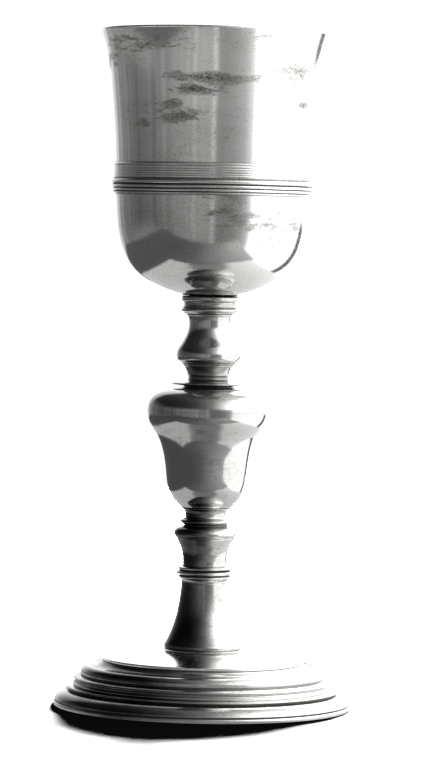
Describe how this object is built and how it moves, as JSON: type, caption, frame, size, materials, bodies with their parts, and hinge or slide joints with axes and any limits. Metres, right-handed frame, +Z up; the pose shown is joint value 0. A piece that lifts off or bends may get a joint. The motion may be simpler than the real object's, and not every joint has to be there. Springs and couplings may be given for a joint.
{
  "type": "ciborium cup",
  "caption": "Silver altar cup with a flared open bowl on a baluster stem and a stepped round foot; the bowl unscrews and a nut under the foot holds the stem together.",
  "frame": {"origin": "centre of the foot's underside, on the surface the cup stands on", "axes": "+Z up the cup's axis from the foot to the mouth; the cup is round, so +X and +Y are any two level directions"},
  "size_m": [0.1196, 0.1196, 0.2708],
  "materials": {
    "silver": "satin",
    "brass": "satin",
    "leather": "matte"
  },
  "bodies": {
    "stem": {"upper_collar": "silver", "upper_fillet": "silver", "upper_baluster": "silver", "baluster_ring": "silver", "stem_flange": "silver", "knop_cap": "silver", "knop_body": "silver", "neck_collar": "silver", "lower_knop": "silver", "ring_collar": "silver", "trumpet_stem": "silver", "foot_plate": "silver", "foot_shoulder": "silver", "foot_step": "silver", "foot_skirt": "silver", "foot_rim": "silver", "stem_socket": "brass", "tie_rod": "brass"},
    "seat": {"seat_washer": "leather"},
    "bowl": {"cup_bowl": "silver", "cup_girdle": "silver", "bowl_boss": "brass"},
    "foot_plate_washer": {"foot_washer": "brass"},
    "nut": {"tie_nut": "brass"}
  },
  "joints": [
    {"name": "bowl_rise", "type": "slide", "parent": "stem", "child": "seat", "axis": [0, 0, 1], "range_m": [0, 0.009]},
    {"name": "bowl_turn", "type": "hinge", "parent": "seat", "child": "bowl", "pos_m": [0, 0, 0.156], "axis": [0, 0, 1], "range_deg": [0, 2160]},
    {"name": "washer_drop", "type": "slide", "parent": "stem", "child": "foot_plate_washer", "axis": [0, 0, -1], "range_m": [0, 0.006]},
    {"name": "nut_turn", "type": "hinge", "parent": "foot_plate_washer", "child": "nut", "pos_m": [0, 0, 0.0178], "axis": [0, 0, -1], "range_deg": [0, 1440]}
  ],
  "couplings": [
    {"joint": "bowl_rise", "follows": "bowl_turn", "m_per_rad": 0.00023873},
    {"joint": "nut_turn", "follows": "washer_drop", "rad_per_m": 4188.8}
  ]
}
